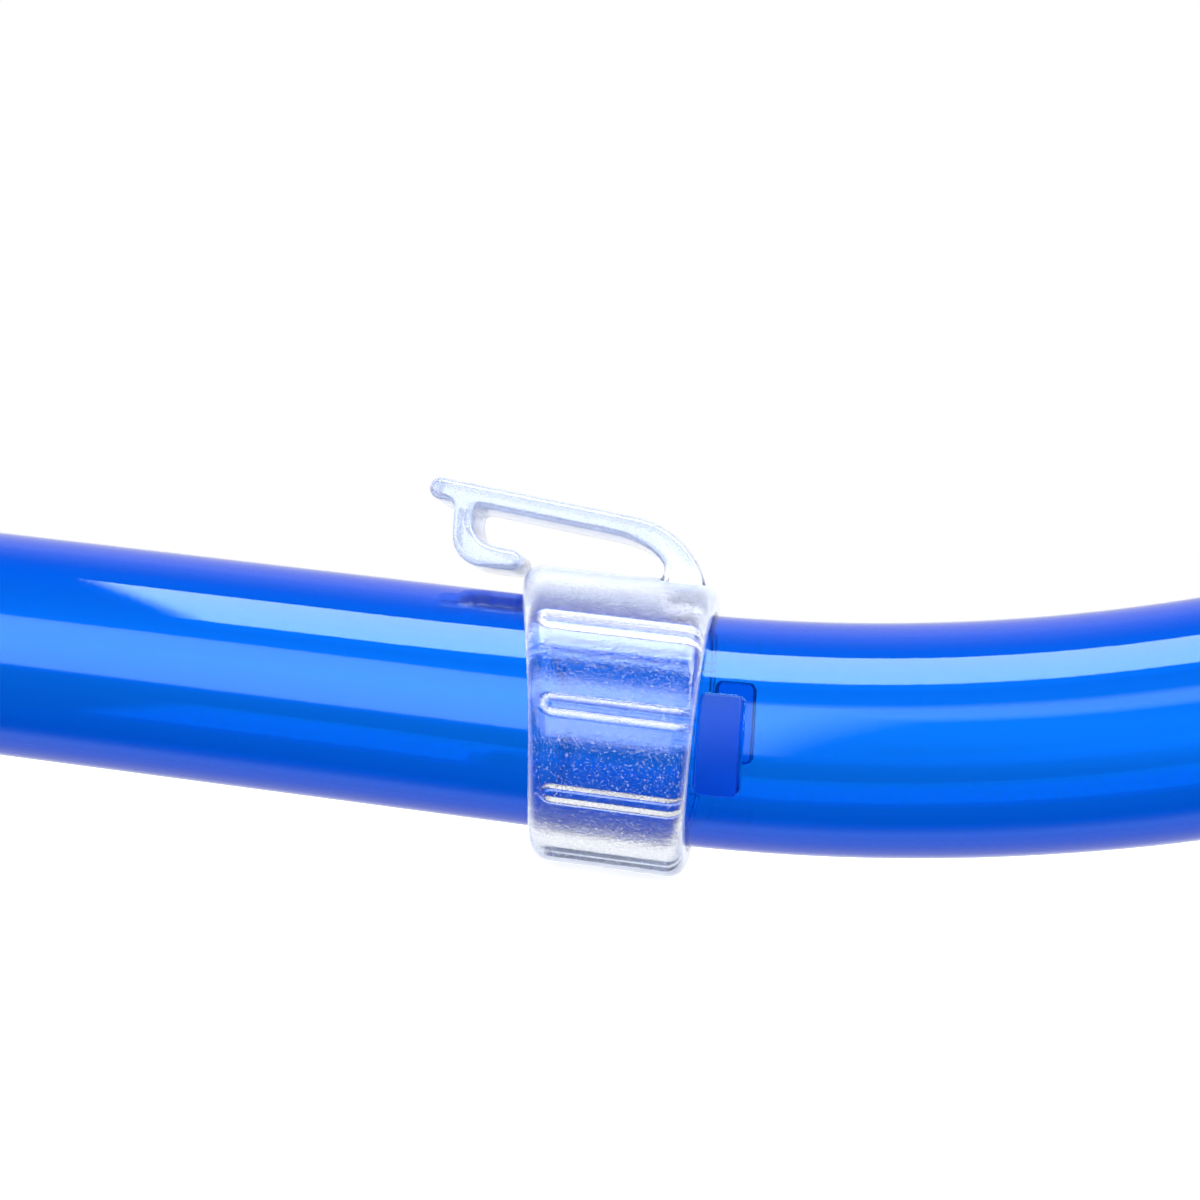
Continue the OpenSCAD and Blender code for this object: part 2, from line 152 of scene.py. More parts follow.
def keeper_to_row():
    """The same for a point in the keeper's own plane, which is turned round the barrel."""
    return barrel_to_row() @ Matrix.Rotation(-TURN, 4, "X")


def smooth_step(t):
    """Rises smoothly from 0 to 1 as t goes from 0 to 1."""
    t = min(1.0, max(0.0, t))
    return t * t * (3 - 2 * t)


def new_object(name, verts, faces):
    mesh = bpy.data.meshes.new(name)
    mesh.from_pydata([tuple(v) for v in verts], [], faces)
    mesh.validate()
    obj = bpy.data.objects.new(name, mesh)
    bpy.context.scene.collection.objects.link(obj)
    return obj


def grid_faces(rows, cols, close_rows, close_cols):
    """Quads over a grid of points, wrapping round in either direction."""
    faces = []
    for i in range(rows if close_rows else rows - 1):
        for j in range(cols if close_cols else cols - 1):
            this_row = i * cols
            next_row = (i + 1) % rows * cols
            next_col = (j + 1) % cols
            faces.append((this_row + j, this_row + next_col, next_row + next_col, next_row + j))
    return faces


def face_outwards(obj):
    bm = bmesh.new()
    bm.from_mesh(obj.data)
    bmesh.ops.recalc_face_normals(bm, faces=bm.faces)
    bm.to_mesh(obj.data)
    bm.free()


def shade(obj, angle):
    """Smooth shading, with edges sharper than the angle in degrees kept crisp."""
    obj.data.polygons.foreach_set("use_smooth", [True] * len(obj.data.polygons))
    obj.data.set_sharp_from_angle(angle=math.radians(angle))


def store_on_points(obj, name, values):
    """Keeps a value for each point, for a material to read."""
    layer = obj.data.attributes.new(name, "FLOAT", "POINT")
    layer.data.foreach_set("value", values)


def apply_modifiers(obj):
    """Replaces the object's mesh with its modified one."""
    bpy.context.view_layer.update()
    graph = bpy.context.evaluated_depsgraph_get()
    made = bpy.data.meshes.new_from_object(obj.evaluated_get(graph))
    obj.modifiers.clear()
    obj.data = made


def soften(obj, voxel, passes):
    """Rebuilds a mesh in even quads of voxel size, then smooths it so that its edges are rounded."""
    remesh = obj.modifiers.new("remesh", "REMESH")
    remesh.mode = "VOXEL"
    remesh.voxel_size = voxel
    remesh.adaptivity = 0
    smooth = obj.modifiers.new("smooth", "SMOOTH")
    smooth.factor = 0.5
    smooth.iterations = passes
    apply_modifiers(obj)


def drop_loose_points(obj):
    bm = bmesh.new()
    bm.from_mesh(obj.data)
    loose = [v for v in bm.verts if not v.link_faces]
    bmesh.ops.delete(bm, geom=loose, context="VERTS")
    bm.to_mesh(obj.data)
    bm.free()


# ---------------------------------------------------------------- barrel

def centreline(s):
    """Point and slope of the barrel's axis at a distance s along it from the point inside the ring."""
    if s > LOWER_START:
        a = min((s - LOWER_START) / LOWER_R, LOWER_A)
        rest = max(0.0, s - LOWER_START - LOWER_R * LOWER_A)
        x = LOWER_START + LOWER_R * math.sin(a) + rest * math.cos(a)
        z = LOWER_R * (1 - math.cos(a)) + rest * math.sin(a)
        return x, z, a
    if s < -STRAIGHT:
        a = min((-STRAIGHT - s) / UPPER_R, UPPER_A)
        rest = max(0.0, -STRAIGHT - s - UPPER_R * UPPER_A)
        x = -STRAIGHT - UPPER_R * math.sin(a) - rest * math.cos(a)
        z = UPPER_R * (1 - math.cos(a)) + rest * math.sin(a)
        return x, z, -a
    return s, 0.0, 0.0


def barrel_point(s, r, theta):
    """A point r from the axis at station s; theta turns from the inside of the bends towards +Y."""
    x, z, a = centreline(s)
    up = r * math.cos(theta)
    return x - up * math.sin(a), r * math.sin(theta), z + up * math.cos(a)


def pad_rise(s, theta):
    """Height of the stop pads above the barrel: a rounded rectangle with soft edges on each side."""
    along = abs(s - (PAD_X0 + PAD_X1) / 2) - (PAD_X1 - PAD_X0) / 2 + PAD_CORNER
    from_top = math.asin(abs(math.sin(theta + PAD_TURN)))
    across = (RIGHT_ANGLE - from_top) * BARREL_R - PAD_HALF + PAD_CORNER
    outside = math.hypot(max(along, 0), max(across, 0)) + min(max(along, across), 0) - PAD_CORNER
    return PAD_RISE * smooth_step(-outside / PAD_EDGE)


def barrel_stations(upper, lower):
    """Places of the mesh's rows along the axis, close together at the ends of the pads."""
    even = list(np.arange(upper, lower, ROW_STEP)) + [lower]
    border = np.arange(-PAD_OVERLAP, PAD_BORDER - PAD_OVERLAP, PAD_STEP)
    fine = [PAD_X0 + d for d in border] + [PAD_X1 - d for d in border]
    kept = [s for s in even if not PAD_X0 - PAD_MARGIN < s < PAD_X0 + PAD_BORDER
            and not PAD_X1 - PAD_BORDER < s < PAD_X1 + PAD_MARGIN]
    return sorted(kept + fine)


def barrel_angles():
    """Angles of the mesh's columns, close together at the long edges of the pads."""
    even = np.linspace(-math.pi, math.pi, COLUMNS, endpoint=False)
    half = PAD_HALF / BARREL_R
    reach = PAD_REACH / BARREL_R
    edges = [side * RIGHT_ANGLE + up * half - PAD_TURN for side in (-1, 1) for up in (-1, 1)]
    fine = [edge + d for edge in edges for d in np.linspace(-reach, reach, FINE_COLUMNS)]
    kept = [t for t in even if min(abs(t - edge) for edge in edges) > reach + COLUMN_GAP]
    return sorted(kept + fine)


def make_barrel():
    """The bent tube: outside, lower end, bore and upper end as one closed sheet."""
    lower = LOWER_START + LOWER_R * LOWER_A + LOWER_END
    upper = -STRAIGHT - UPPER_R * UPPER_A - UPPER_END
    rows = barrel_stations(upper, lower)
    cols = barrel_angles()

    def outer_r(s):
        into_upper = smooth_step((upper + UPPER_END - s) / SPIGOT_EASE)
        into_lower = smooth_step((s - lower + LOWER_END) / SPIGOT_EASE)
        return BARREL_R - (BARREL_R - SPIGOT_R) * (into_upper + into_lower)

    def near_pad(s):
        return PAD_X0 - PAD_MARGIN < s < PAD_X1 + PAD_MARGIN

    end_r = SPIGOT_R - END_BEVEL
    bore = [s for s in reversed(rows) if not near_pad(s)]
    rise = [[pad_rise(s, t) for t in cols] for s in rows]
    sheet = []
    for s, heights in zip(rows, rise):
        sheet.append([barrel_point(s, outer_r(s) + h, t) for t, h in zip(cols, heights)])
    sheet.append([barrel_point(lower + END_BULGE, end_r, t) for t in cols])
    sheet += [[barrel_point(s, BORE_R, t) for t in cols] for s in bore]
    sheet.append([barrel_point(upper - END_BULGE, end_r, t) for t in cols])

    verts = [point for row in sheet for point in row]
    obj = new_object("barrel_tube", verts, grid_faces(len(sheet), len(cols), True, True))
    face_outwards(obj)
    matte = [h / PAD_RISE for heights in rise for h in heights]
    store_on_points(obj, "matte", matte + [0.0] * (len(verts) - len(matte)))
    obj.data.transform(barrel_to_row())
    shade(obj, 50)
    return obj


# ---------------------------------------------------------------- keeper ring

def flare(z):
    """Where the ring's upper rim lies at height z."""
    reach = FLARE_R ** 2 - (z - FLARE_Z) ** 2
    return max(RING_X0, FLARE_X - FLARE_R + math.sqrt(reach))


def rib_profile(d):
    """Height of a rib at a distance d from its middle line: two ridges with a channel between them."""
    slope_out = (RIB_HALF - d) / (RIB_HALF - RIB_CREST)
    slope_in = (d - RIB_FLOOR) / (RIB_CREST - RIB_FLOOR)
    return RIB_H * max(0.0, min(slope_out, slope_in, RIB_FLAT))


def rib_rise(x, theta, left):
    """Height of the ribs above the ring at distance x along the barrel, where its upper rim is at left."""
    along = max(0.0, left + RIB_START - x)
    return max(rib_profile(math.hypot((abs(theta) - angle) * RING_OUT, along)) for angle in RIB_ANGLES)


def ring_angles():
    """Angles of the ring's columns, close together at the ribs."""
    even = np.linspace(-math.pi, math.pi, RING_COLUMNS, endpoint=False)
    across = np.linspace(-RIB_REACH, RIB_REACH, FINE_COLUMNS)
    fine = [side * angle + d / RING_OUT for side in (-1, 1) for angle in RIB_ANGLES for d in across]
    kept = [t for t in even if min(abs(t - f) for f in fine) > RING_COLUMN_GAP]
    return sorted(kept + fine)


def ring_point(x, r, theta):
    return x, r * math.sin(theta), r * math.cos(theta)


def bore_point(u, theta):
    """On the bore, from the upper rim at u = 0 to the lower one at 1."""
    start = flare(RING_IN * math.cos(theta)) + RING_LIP
    end = RING_X1 - RING_LIP
    return ring_point(start * (1 - u) + end * u, RING_IN, theta)


def lower_edge_point(a, theta):
    """On the rounded lower edge, over which the ribs run; a turns from the rim to the outside."""
    x = RING_X1 - RING_EDGE * (1 - math.cos(a))
    rise = rib_rise(x, theta, RING_X0) * math.sin(a)
    return ring_point(x, RING_BODY_R + RING_EDGE * math.sin(a) + rise, theta)


def outside_point(u, theta):
    """On the outside, from the lower edge at u = 0 to the upper one at 1."""
    left = flare(RING_BODY_R * math.cos(theta))
    start = RING_X1 - RING_EDGE
    x = start + (left + RING_EDGE - start) * u
    return ring_point(x, RING_OUT + rib_rise(x, theta, left), theta)


def upper_edge_point(a, theta):
    """On the rounded upper edge; a turns from the rim to the outside."""
    left = flare(RING_BODY_R * math.cos(theta))
    return ring_point(left + RING_EDGE * (1 - math.cos(a)), RING_BODY_R + RING_EDGE * math.sin(a), theta)


def upper_rim_point(r, theta):
    return ring_point(flare(r * math.cos(theta)), r, theta)


def make_ring():
    """The keeper's ring as one closed sheet: bore, lower rim, outside and upper rim."""
    cols = ring_angles()
    turns = [k / EDGE_ROWS * RIGHT_ANGLE for k in range(1, EDGE_ROWS)]
    rims = (RING_IN + RING_LIP, RING_BODY_R)
    sheet = [[bore_point(k / BORE_ROWS, t) for t in cols] for k in range(BORE_ROWS + 1)]
    sheet += [[ring_point(RING_X1, r, t) for t in cols] for r in rims]
    sheet += [[lower_edge_point(a, t) for t in cols] for a in turns]
    sheet += [[outside_point(k / OUTSIDE_ROWS, t) for t in cols] for k in range(OUTSIDE_ROWS + 1)]
    sheet += [[upper_edge_point(a, t) for t in cols] for a in reversed(turns)]
    sheet += [[upper_rim_point(r, t) for t in cols] for r in reversed(rims)]
    verts = [point for row in sheet for point in row]
    obj = new_object("keeper_clip", verts, grid_faces(len(sheet), len(cols), True, True))
    face_outwards(obj)
    return obj


# ---------------------------------------------------------------- keeper hook

def arc(centre, r, start, end, count):
    """Points on an arc, angles in degrees."""
    turns = np.radians(np.linspace(start, end, count))
    return [(centre[0] + r * math.cos(a), centre[1] + r * math.sin(a)) for a in turns]


def curve(p, q, r, count):
    """Points on a quadratic curve from p to r, pulled towards q."""
    p, q, r = np.array(p), np.array(q), np.array(r)
    return [tuple((1 - t) ** 2 * p + 2 * t * (1 - t) * q + t * t * r) for t in np.linspace(0, 1, count)]


def arm_line(x, offset):
    """A point of the arm's centre line at x, moved square to it."""
    start = ROOT_C + (ROOT_R - ARM_T / 2) * np.array([math.sin(ARM_SLOPE), math.cos(ARM_SLOPE)])
    z = start[1] + (start[0] - x) * math.tan(ARM_SLOPE)
    return (x + offset * math.sin(ARM_SLOPE), z + offset * math.cos(ARM_SLOPE))


def hook_outline():
    """The hook's side view: out along the arm's top, round its tip, down the curled leg and back inside."""
    slope = math.degrees(ARM_SLOPE)
    half = ARM_T / 2
    leg_c, leg_r = (-16.65, 17.3), 3.25
    foot_c, foot_r = (-13.45, 15.05), 1.06
    # root and top of the arm, then the tip
    points = [(6.4, 12.9)] + arc(ROOT_C, ROOT_R, 8, 90 - slope, 30)
    points += arc(arm_line(ARM_TIP_X, 0), half, 90 - slope, 270 - slope, 14)
    # outside of the leg, down to its foot
    points += curve(arm_line(-20.75, -half), arm_line(-20.15, -half), (-20.1, 19.7), 6)
    points += arc(leg_c, leg_r, 184, 262, 14)
    points += [(-15.2, 13.98)] + arc(foot_c, foot_r, -90, 90, 12)
    # inside of the leg, back up to the arm
    points += curve((-14.6, 16.2), (-16.2, 16.35), (-16.75, 16.75), 5)
    points += curve((-17.0, 16.95), (-17.85, 17.5), (-18.0, 19.0), 7)[1:]
    points += curve((-18.05, 19.2), (-18.1, arm_line(-18.1, -half)[1]), arm_line(-17.1, -half), 7)
    # underside of the arm, back to the ring
    points += [arm_line(-12, -half), arm_line(-7, -half)]
    points += curve(arm_line(-3.6, -half), (0.6, 18.55), (2.3, 16.55), 12)
    points += curve((2.45, 16.3), (3.0, 14.9), (1.2, 14.3), 8)
    points += [(1.1, 13.0)]
    return points


def resample(points, step):
    """Even points round a closed outline."""
    corners = [np.array(p, float) for p in points]
    corners.append(corners[0])
    even = []
    for p, q in zip(corners, corners[1:]):
        count = max(1, int(round(np.linalg.norm(q - p) / step)))
        even += [p + (q - p) * i / count for i in range(count)]
    return even


def outline_normals(outline):
    """Directions pointing out of a closed outline, one at each point."""
    following = outline[1:] + outline[:1]
    area = sum(p[0] * q[1] - q[0] * p[1] for p, q in zip(outline, following))
    turn = 1 if area > 0 else -1
    normals = []
    for i, after in enumerate(following):
        along = after - outline[i - 1]
        along = along / (np.linalg.norm(along) or 1)
        normals.append(np.array([along[1], -along[0]]) * turn)
    return normals


def make_hook():
    """The hook's outline raised to its width, with rounded edges on both sides."""
    outline = resample(hook_outline(), HOOK_STEP)
    normals = outline_normals(outline)
    turns = [k / HOOK_EDGE_ROWS * RIGHT_ANGLE for k in range(HOOK_EDGE_ROWS + 1)]
    sheet = []
    for side, order in ((-1, turns), (1, turns[::-1])):
        for a in order:
            inset = HOOK_EDGE * (1 - math.sin(a))
            y = side * (HOOK_W / 2 - HOOK_EDGE * (1 - math.cos(a)))
            sheet.append([(p[0] - n[0] * inset, y, p[1] - n[1] * inset) for p, n in zip(outline, normals)])
    count = len(outline)
    verts = [point for row in sheet for point in row]
    faces = grid_faces(len(sheet), count, False, True)
    faces.append(tuple(range(count)))
    faces.append(tuple(range(len(verts) - count, len(verts)))[::-1])
    obj = new_object("hook_form", verts, faces)
    face_outwards(obj)
    return obj


# ---------------------------------------------------------------- keeper

def past_ring(p):
    """Whether a point lies beyond the ring's upper rim, where there is only the hook."""
    return p.x < RING_X0 - RIM_MARGIN


def on_hook(p):
    """Whether a point lies above the hook's foot, within the hook's width."""
    return p.z > HOOK_FOOT and abs(p.y) < HOOK_W / 2 + HOOK_MARGIN


def painted_highlight_share(p):
    """How much painted highlight a point of the ring gets, as milkiness: 1 on the crests of the ribs that
    face the light, 0 between them.
    """
    if past_ring(p) or on_hook(p):
        return 0.0
    lit = smooth_step((p.z - LIT_FROM) / LIT_OVER)
    return lit * smooth_step((math.hypot(p.y, p.z) - RING_OUT) / RIB_H)


def haze_share(p):
    """How hazy a point is: 1 on the hook, 0 on the ring, rising above the hook's foot."""
    if past_ring(p):
        return 1.0
    return smooth_step((p.z - HOOK_FOOT) / HAZE_OVER) if on_hook(p) else 0.0


def make_keeper():
    """Ring and hook as the one moulding that they are."""
    ring = make_ring()
    hook = make_hook()
    join = ring.modifiers.new("join", "BOOLEAN")
    join.operation = "UNION"
    join.solver = "EXACT"
    join.object = hook
    apply_modifiers(ring)
    bpy.data.objects.remove(hook)
    drop_loose_points(ring)
    # painted highlight on the crests of the ribs that face the light
    store_on_points(ring, "painted_highlight", [painted_highlight_share(v.co) for v in ring.data.vertices])
    store_on_points(ring, "haze", [haze_share(v.co) for v in ring.data.vertices])
    ring.data.transform(keeper_to_row())
    shade(ring, 38)
    return ring


def bend_keeper(obj):
    """Bakes the clip's placement into its mesh."""
    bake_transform(obj)


# ---------------------------------------------------------------- pieces refined from the CAD solids

def from_cad(node, name, voxel, passes):
    """A copy of a CAD solid, rebuilt in quads of voxel millimetres with softly rounded edges."""
    obj = new_object(name, [], [])
    bm = bmesh.new()
    bm.from_mesh(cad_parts[node].data)
    bmesh.ops.remove_doubles(bm, verts=bm.verts, dist=WELD)
    bm.to_mesh(obj.data)
    bm.free()
    obj.data.transform(Matrix.Scale(1 / MM, 4))
    soften(obj, voxel, passes)
    drop_loose_points(obj)
    obj.data.transform(Matrix.Scale(MM, 4))
    shade(obj, 80)
    return obj


# ---------------------------------------------------------------- node helpers

NOISE_LOW = 0.3                   # the range that most noise lies in
NOISE_HIGH = 0.7


def link(tree, a, b):
    tree.links.new(a, b)


def feed(tree, value, socket):
    """Sets an input to a number, or links it to a node's output."""
    if isinstance(value, (int, float)):
        socket.default_value = value
    else:
        link(tree, value, socket)


def math_node(tree, op, a, b=None, clamp=False):
    node = tree.nodes.new("ShaderNodeMath")
    node.operation = op
    node.use_clamp = clamp
    feed(tree, a, node.inputs[0])
    if b is not None:
        feed(tree, b, node.inputs[1])
    return node.outputs[0]


def plus(tree, a, b):
    return math_node(tree, "ADD", a, b)


def times(tree, a, b):
    return math_node(tree, "MULTIPLY", a, b)


def window(tree, value, low, high, soft):
    """1 where the value lies between low and high, falling to 0 over soft outside."""
    up = math_node(tree, "DIVIDE", math_node(tree, "SUBTRACT", value, low - soft), soft, True)
    down = math_node(tree, "DIVIDE", math_node(tree, "SUBTRACT", value, high + soft), -soft, True)
    return times(tree, up, down)


def above(tree, value, low, soft):
    """1 where the value is over low, falling to 0 over soft below it."""
    return math_node(tree, "DIVIDE", math_node(tree, "SUBTRACT", value, low - soft), soft, True)


def mix_values(tree, share, a, b):
    node = tree.nodes.new("ShaderNodeMix")
    node.data_type = "FLOAT"
    feed(tree, share, node.inputs["Factor"])
    feed(tree, a, node.inputs["A"])
    feed(tree, b, node.inputs["B"])
    return node.outputs["Result"]


def mix_colours(tree, share, a, b):
    node = tree.nodes.new("ShaderNodeMix")
    node.data_type = "RGBA"
    feed(tree, share, node.inputs["Factor"])
    node.inputs["A"].default_value = (*a, 1)
    node.inputs["B"].default_value = (*b, 1)
    return node.outputs["Result"]


def attribute(tree, name):
    """A value stored on the mesh's points; 0 on a mesh that has none."""
    node = tree.nodes.new("ShaderNodeAttribute")
    node.attribute_name = name
    return node.outputs["Fac"]


def noise(tree, scale, detail=4.0, rough=0.5):
    """Noise in the object's own coordinates; scale is per metre."""
    place = tree.nodes.new("ShaderNodeTexCoord")
    texture = tree.nodes.new("ShaderNodeTexNoise")
    texture.inputs["Scale"].default_value = scale
    texture.inputs["Detail"].default_value = detail
    texture.inputs["Roughness"].default_value = rough
    link(tree, place.outputs["Object"], texture.inputs["Vector"])
    return texture.outputs["Fac"]


def spread(tree, value, low, high):
    """Maps noise to the range from low to high."""
    node = tree.nodes.new("ShaderNodeMapRange")
    node.inputs["From Min"].default_value = NOISE_LOW
    node.inputs["From Max"].default_value = NOISE_HIGH
    node.inputs["To Min"].default_value = low
    node.inputs["To Max"].default_value = high
    link(tree, value, node.inputs["Value"])
    return node.outputs["Result"]


def bump(tree, height, strength, distance):
    node = tree.nodes.new("ShaderNodeBump")
    node.inputs["Strength"].default_value = strength
    node.inputs["Distance"].default_value = distance
    link(tree, height, node.inputs["Height"])
    return node.outputs["Normal"]


# ---------------------------------------------------------------- materials

PLASTIC_IOR = 1.5
BLUE_GLANCE = (0.55, 0.95, 1)     # tint of the tube's reflections
MATTE_ROUGHNESS = 0.42            # extra roughness on top of the stop pads
CHAMBER_WALL = 0.003              # metres
DYE_DEPTH = 0.005                 # depth after which clear plastic has its colour, in metres
# colour of the hook's haze and of the painted grey-blue edge shade
HAZE_AND_EDGE_SHADE_COLOUR = (0.54, 0.61, 0.81)
HAZE_SHARE = 0.27
# share of milkiness that paints a highlight on the lit rib crests
PAINTED_HIGHLIGHT_SHARE = 0.24
# share of painted grey-blue edge shade where a face is seen at a grazing angle
EDGE_SHADE_SHARE = 0.35
EDGE_SHADE_FROM = 0.75               # how far a face turns away before its painted grey-blue edge shade is full, and over what range
EDGE_SHADE_SOFT = 0.5
FLECK_SHARE = 0.13
FLECK_FROM = 0.72                 # noise over which there is a fleck, and over what range it fades
FLECK_SOFT = 0.07
FLECKS = 5000                     # noise scales per metre
GRAIN = 3600
PEEL = 1600


def node_material(name):
    mat = bpy.data.materials.new(name)
    mat.use_nodes = True
    tree = mat.node_tree
    return mat, tree, tree.nodes["Principled BSDF"]


def add_dye(tree, through, depth):
    """Colours the inside: light is left with the colour through after the depth, in metres."""
    lost = [-math.log(c) / depth for c in through]
    density = max(lost)
    dye = tree.nodes.new("ShaderNodeVolumeAbsorption")
    dye.inputs["Density"].default_value = density
    dye.inputs["Color"].default_value = (*[1 - v / density for v in lost], 1)
    link(tree, dye.outputs[0], tree.nodes["Material Output"].inputs["Volume"])


def tinted_plastic(name, through, wall, rough=(0.02, 0.05)):
    """Clear coloured plastic: light that crosses two walls, each wall metres thick, is left with the colour.

    Where the mesh's matte attribute is 1, the surface is rough."""
    mat, tree, bsdf = node_material(name)
    bsdf.inputs["Base Color"].default_value = (1, 1, 1, 1)
    bsdf.inputs["Transmission Weight"].default_value = 1.0
    bsdf.inputs["IOR"].default_value = PLASTIC_IOR
    bsdf.inputs["Specular Tint"].default_value = (*BLUE_GLANCE, 1)
    add_dye(tree, through, 2 * wall)
    rougher = times(tree, attribute(tree, "matte"), MATTE_ROUGHNESS)
    gloss = spread(tree, noise(tree, 900), *rough)
    link(tree, plus(tree, gloss, rougher), bsdf.inputs["Roughness"])
    link(tree, bump(tree, noise(tree, PEEL, 2.0), 0.05, 0.00003), bsdf.inputs["Normal"])
    return mat


def frosted(name, through, rough, grain, milk, skin=(0.985, 0.99, 1)):
    """Clear plastic with a fine frosted grain and a share of milkiness.

    It has painted grey-blue edge shade where it is seen at a grazing angle, and a painted highlight on the
    rib crests that face the light;
    it is paler where the mesh's haze attribute says so, and in small flecks."""
    mat, tree, bsdf = node_material(name)
    bsdf.inputs["IOR"].default_value = PLASTIC_IOR
    painted_highlight = attribute(tree, "painted_highlight")
    haze = attribute(tree, "haze")
    facing = tree.nodes.new("ShaderNodeLayerWeight").outputs["Facing"]
    # painted grey-blue edge shade where a face is seen at a grazing angle
    edge_shade = above(tree, facing, EDGE_SHADE_FROM, EDGE_SHADE_SOFT)
    edge_shade = times(tree, times(tree, edge_shade, edge_shade), math_node(tree, "SUBTRACT", 1, haze))
    haze_and_edge_shade = math_node(tree, "ADD", haze, edge_shade, True)
    link(tree, mix_colours(tree, haze_and_edge_shade, skin, HAZE_AND_EDGE_SHADE_COLOUR), bsdf.inputs["Base Color"])
    flecks = above(tree, noise(tree, FLECKS, 0.0), FLECK_FROM, FLECK_SOFT)
    # painted highlight on the lit rib crests, with the hook's haze, makes the plastic less clear
    haze_flecks_and_painted_light = plus(tree, times(tree, painted_highlight, PAINTED_HIGHLIGHT_SHARE), times(tree, haze, HAZE_SHARE))
    haze_flecks_and_painted_light = plus(tree, haze_flecks_and_painted_light, times(tree, edge_shade, EDGE_SHADE_SHARE))
    haze_flecks_and_painted_light = plus(tree, haze_flecks_and_painted_light, times(tree, flecks, FLECK_SHARE * grain))
    link(tree, math_node(tree, "SUBTRACT", 1 - milk, haze_flecks_and_painted_light, True), bsdf.inputs["Transmission Weight"])
    add_dye(tree, through, DYE_DEPTH)
    link(tree, spread(tree, noise(tree, 2500, 3.0), *rough), bsdf.inputs["Roughness"])
    link(tree, bump(tree, noise(tree, GRAIN, 1.0, 0.6), grain, 0.00003), bsdf.inputs["Normal"])
    return mat


def moulded(name, colour, rough):
    """Opaque moulded plastic or rubber with slight variation in colour, gloss and surface."""
    mat, tree, bsdf = node_material(name)
    ramp = tree.nodes.new("ShaderNodeValToRGB")
    dark, light = ramp.color_ramp.elements
    dark.color = (*[c * 0.9 for c in colour], 1)
    dark.position = NOISE_LOW
    light.color = (*[min(1, c * 1.08) for c in colour], 1)
    light.position = NOISE_HIGH
    link(tree, noise(tree, 60, 2.0), ramp.inputs["Fac"])
    link(tree, ramp.outputs["Color"], bsdf.inputs["Base Color"])
    link(tree, spread(tree, noise(tree, 150, 2.0), *rough), bsdf.inputs["Roughness"])
    link(tree, bump(tree, noise(tree, 2500, 2.0), 0.08, 0.00001), bsdf.inputs["Normal"])
    return mat


# ---------------------------------------------------------------- the object

def place(obj, body, mat, slot_name, *nodes):
    """Gives a new piece its material and body, and hides the CAD nodes that it stands for."""
    obj.data.materials.clear()
    obj.data.materials.append(mat)
    if body:
        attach(obj, body)
    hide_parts(*nodes)


def refine(node, name, voxel, passes, body, mat, slot_name):
    place(from_cad(node, name, voxel, passes), body, mat, slot_name, node)


def set_cad_material(node, mat):
    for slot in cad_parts[node].material_slots:
        slot.link = "OBJECT"
        slot.material = mat


def make_object():
    blue = tinted_plastic("blue_tube", (0.002, 0.14, 0.74), (BARREL_R - BORE_R) * MM)
    clear = frosted("clear_clip", (0.97, 0.98, 0.995), (0.08, 0.12), 0.8, 0.0)
    navy = moulded("navy_shell", (0.003, 0.022, 0.17), (0.25, 0.32))
    mid_blue = moulded("blue_baffle", (0.02, 0.12, 0.45), (0.27, 0.33))
    deep_blue = tinted_plastic("blue_chamber", (0.002, 0.1, 0.8), CHAMBER_WALL, (0.04, 0.1))
    orange = moulded("signal_band", (0.75, 0.1, 0.005), (0.38, 0.45))
    silicone = frosted("clear_silicone", (0.6, 0.7, 0.82), (0.25, 0.35), 0.3, 0.3, (0.5, 0.57, 0.68))
    black = moulded("black_clamp", (0.012, 0.012, 0.015), (0.4, 0.5))
    seal = moulded("seal_rubber", (0.015, 0.015, 0.016), (0.5, 0.65))
    white = moulded("white_plastic", (0.66, 0.69, 0.73), (0.35, 0.45))

    place(make_barrel(), "barrel", blue, "barrel", "barrel")
    clip = make_keeper()
    bend_keeper(clip)
    place(clip, None, clear, "keeper", "keeper_ring", "keeper_hook")
    refine("splash_guard_hood", "guard_hood", 0.4, 6, "barrel", navy, "guard")
    refine("splash_guard_base", "guard_base", 0.4, 6, "barrel", navy, "guard")
    refine("lower_chamber", "chamber_shell", 0.43, 7, "chamber", deep_blue, "chamber")
    refine("purge_cover", "purge_cap", 0.35, 6, "chamber", navy, "cover")
    refine("mouthpiece", "mouthpiece_body", 0.45, 10, "chamber", silicone, "silicone")
    refine("mouthpiece_clamp", "clamp_strap", 0.3, 6, "chamber", black, "clamp")
    set_cad_material("visibility_band", orange)
    set_cad_material("splash_guard_baffle", mid_blue)
    set_cad_material("swivel_lock_ring", white)
    set_cad_material("chamber_o_ring", seal)
    set_cad_material("purge_valve_seat", white)
    set_cad_material("purge_valve", silicone)


# ---------------------------------------------------------------- floor and camera

CAMERA_YAW = math.radians(-7.63)
CAMERA_ROLL = math.radians(6.67)
CAMERA_TARGET = (-4.0, 0, 12.25)  # in the barrel's millimetres
CAMERA_DISTANCE = 0.2
CAMERA_LENS = 57.53
FLOOR_HALF = 3.0
FLOOR_GAP = 0.0004


def camera_axes():
    """Forward, right and up of the camera: it stands a little to the right and is rolled."""
    forward = Vector((math.sin(CAMERA_YAW), math.cos(CAMERA_YAW), 0))
    level = Vector((math.cos(CAMERA_YAW), -math.sin(CAMERA_YAW), 0))
    upright = Vector((0, 0, 1))
    right = level * math.cos(CAMERA_ROLL) + upright * math.sin(CAMERA_ROLL)
    up = upright * math.cos(CAMERA_ROLL) - level * math.sin(CAMERA_ROLL)
    return forward, right, up


